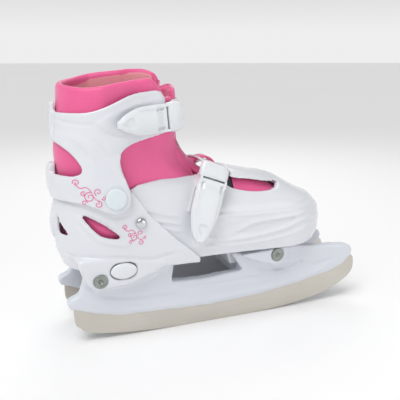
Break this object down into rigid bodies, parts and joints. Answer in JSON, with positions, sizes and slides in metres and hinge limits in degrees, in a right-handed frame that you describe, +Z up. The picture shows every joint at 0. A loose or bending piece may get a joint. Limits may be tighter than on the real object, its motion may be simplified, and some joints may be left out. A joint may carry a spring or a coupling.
{
  "type": "ice skate",
  "caption": "Adjustable child's ice skate: hard shell boot with a soft liner, buckled cuff and instep, on a twin-runner blade holder.",
  "frame": {"origin": "on the ice under the middle of the skate's bounding box", "axes": "+X towards the toe, +Y towards the inner side of the foot, +Z up"},
  "size_m": [0.2566, 0.0914, 0.2003],
  "materials": {
    "white_shell": "glossy injection-moulded polypropylene",
    "white_trim": "glossy moulded nylon",
    "chassis_white": "glossy moulded nylon",
    "blade_steel": "ground and satin polished",
    "bolt_zinc": "zinc plated",
    "rivet_chrome": "polished",
    "pin_steel": "drawn wire",
    "liner_pink": "coated synthetic leather with a soft sheen",
    "lining_salmon": "brushed knit",
    "footbed_grey": "foam with a knit face"
  },
  "bodies": {
    "chassis": {"blade_holder": "chassis_white", "blade_outer": "blade_steel", "blade_inner": "blade_steel", "rear_shell": "white_shell", "liner_foot": "liner_pink", "tongue_lower": "liner_pink", "footbed": "footbed_grey", "ankle_pivot_pins": "pin_steel", "ankle_pivot_caps": "white_trim", "rear_bolts": "bolt_zinc", "front_bolts": "bolt_zinc", "front_barrel_nuts": "bolt_zinc", "guide_rivets": "rivet_chrome", "size_button_spring": "pin_steel"},
    "toe_half": {"front_shell": "white_shell", "instep_buckle_base": "white_trim", "instep_buckle_pin": "pin_steel", "instep_ladder_strap": "white_trim", "instep_rivets": "pin_steel"},
    "ankle_cuff": {"cuff": "white_shell", "liner_ankle": "liner_pink", "collar_lining": "lining_salmon", "tongue_upper": "liner_pink", "cuff_buckle_base": "white_trim", "cuff_buckle_pin": "pin_steel", "cuff_ladder_strap": "white_trim", "cuff_rivets": "pin_steel"},
    "instep_lever": {"instep_lever": "white_trim"},
    "cuff_lever": {"cuff_lever": "white_trim"},
    "size_button": {"size_button": "white_trim"}
  },
  "joints": [
    {"name": "cuff_lean", "type": "hinge", "parent": "chassis", "child": "ankle_cuff", "pos_m": [-0.086, 0.0038, 0.1118], "axis": [0, 1, 0], "range_deg": [0, 10]},
    {"name": "size_slide", "type": "slide", "parent": "chassis", "child": "toe_half", "axis": [1, 0, 0], "range_m": [0, 0.02]},
    {"name": "size_button_press", "type": "slide", "parent": "chassis", "child": "size_button", "axis": [0, 1, 0], "range_m": [0, 0.002], "stiffness_N_per_m": 400},
    {"name": "instep_lever_lift", "type": "hinge", "parent": "toe_half", "child": "instep_lever", "pos_m": [-0.01231, -0.03318, 0.11739], "axis": [0.9387, 0, -0.3446], "range_deg": [-100, 0]},
    {"name": "cuff_lever_lift", "type": "hinge", "parent": "ankle_cuff", "child": "cuff_lever", "pos_m": [-0.04885, -0.03318, 0.1666], "axis": [0.0879, 0, -0.9961], "range_deg": [-100, 0]}
  ]
}
